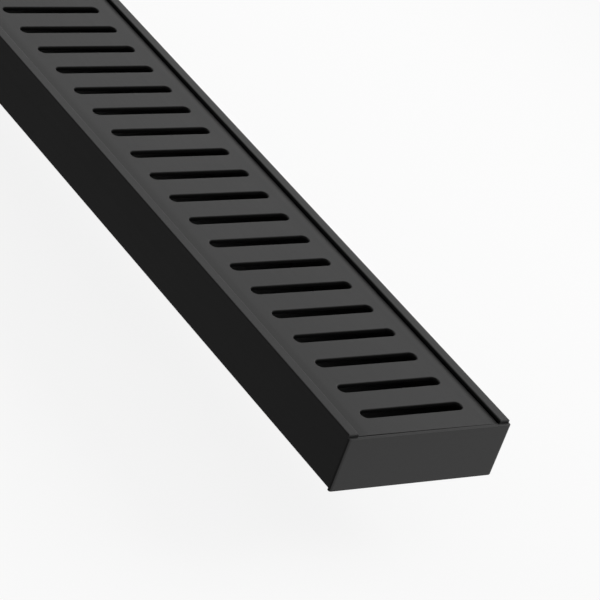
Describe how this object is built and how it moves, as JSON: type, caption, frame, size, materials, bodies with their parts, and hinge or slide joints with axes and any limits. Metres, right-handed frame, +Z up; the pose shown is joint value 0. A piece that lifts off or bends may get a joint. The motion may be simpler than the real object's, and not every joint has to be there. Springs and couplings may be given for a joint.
{
  "type": "channel drain",
  "caption": "Slim linear shower channel drain: a black U channel with end caps, a drop-in slotted grate and a clamped round outlet under its middle.",
  "frame": {"origin": "on the outlet's axis, at the lower mouth of the outlet spigot, where the waste pipe is joined on", "axes": "+X across the channel, +Y along it away from the near end cap, +Z up out of the grate"},
  "size_m": [0.081, 0.8, 0.06],
  "materials": {
    "channel_finish": "satin",
    "cap_finish": "satin",
    "grate_finish": "satin",
    "outlet_plastic": "satin",
    "seal_rubber": "matte"
  },
  "bodies": {
    "root": {"channel": "channel_finish", "end_cap_near": "cap_finish", "end_cap_far": "cap_finish", "slotted_grate": "grate_finish", "outlet_body": "outlet_plastic", "back_nut": "outlet_plastic", "flange_seal": "seal_rubber", "rubber_washer": "seal_rubber"}
  },
  "joints": []
}
